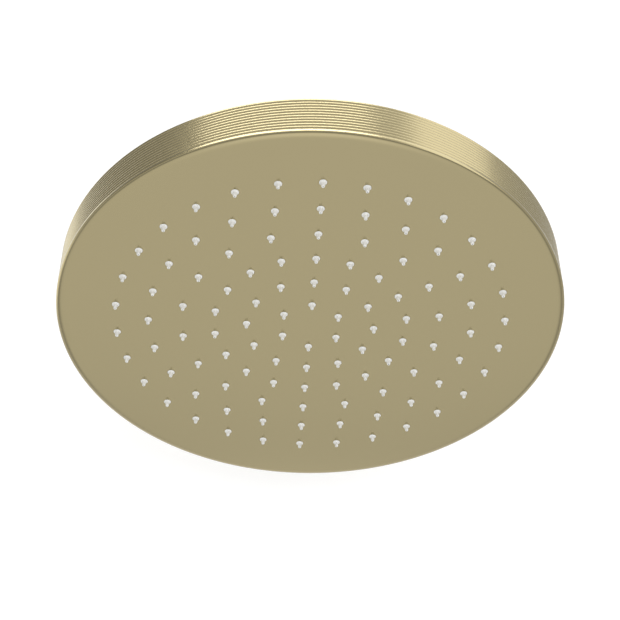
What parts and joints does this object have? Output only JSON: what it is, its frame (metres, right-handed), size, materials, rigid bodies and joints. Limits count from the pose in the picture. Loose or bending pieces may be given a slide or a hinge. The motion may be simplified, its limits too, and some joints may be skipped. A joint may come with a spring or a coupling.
{
  "type": "rain shower head",
  "caption": "Round overhead rain shower head: flat face with soft spray nozzles, finely ribbed side, domed back cover and a swivel ball inlet with a threaded socket.",
  "frame": {"origin": "centre of the inlet thread's mouth, where the shower arm screws in", "axes": "+Z along the inlet thread and the head's axis, up and out of the inlet; the face looks down along -Z; +X to the right as the picture shows it"},
  "size_m": [0.25, 0.25, 0.0772],
  "materials": {
    "gold_shell": "satin champagne gold coating",
    "gold_cover": "satin champagne gold coating",
    "gold_fitting": "satin champagne gold coating",
    "raw_brass": "turned, uncoated",
    "white_silicone": "smooth white silicone",
    "grey_moulding": "moulded, matt",
    "pale_nylon": "moulded, satin",
    "black_rubber": "moulded, matt",
    "bright_steel": "plain stainless"
  },
  "bodies": {
    "inlet": {"ball_stem": "gold_fitting", "flow_regulator": "pale_nylon", "regulator_ring": "black_rubber", "strainer": "bright_steel", "inlet_washer": "black_rubber"},
    "liner": {"friction_ring": "pale_nylon"},
    "seat": {"ball_seal": "black_rubber"},
    "head": {"face_shell": "gold_shell", "nozzle_mat": "white_silicone", "chamber_base": "grey_moulding", "chamber_seal": "black_rubber", "chamber_lid": "grey_moulding", "chamber_screws": "bright_steel", "back_cover": "gold_cover", "cover_screws": "gold_fitting", "boss_insert": "raw_brass", "neck_seal": "black_rubber", "neck_gasket": "black_rubber", "neck": "gold_fitting", "swivel_nut": "gold_fitting"}
  },
  "joints": [
    {"name": "tilt_x", "type": "hinge", "parent": "inlet", "child": "liner", "pos_m": [0, 0, -0.034], "axis": [1, 0, 0], "range_deg": [-10, 10]},
    {"name": "tilt_y", "type": "hinge", "parent": "liner", "child": "seat", "pos_m": [0, 0, -0.034], "axis": [0, 1, 0], "range_deg": [-10, 10]},
    {"name": "turn", "type": "hinge", "parent": "seat", "child": "head", "pos_m": [0, 0, -0.034], "axis": [0, 0, 1], "continuous": true}
  ]
}
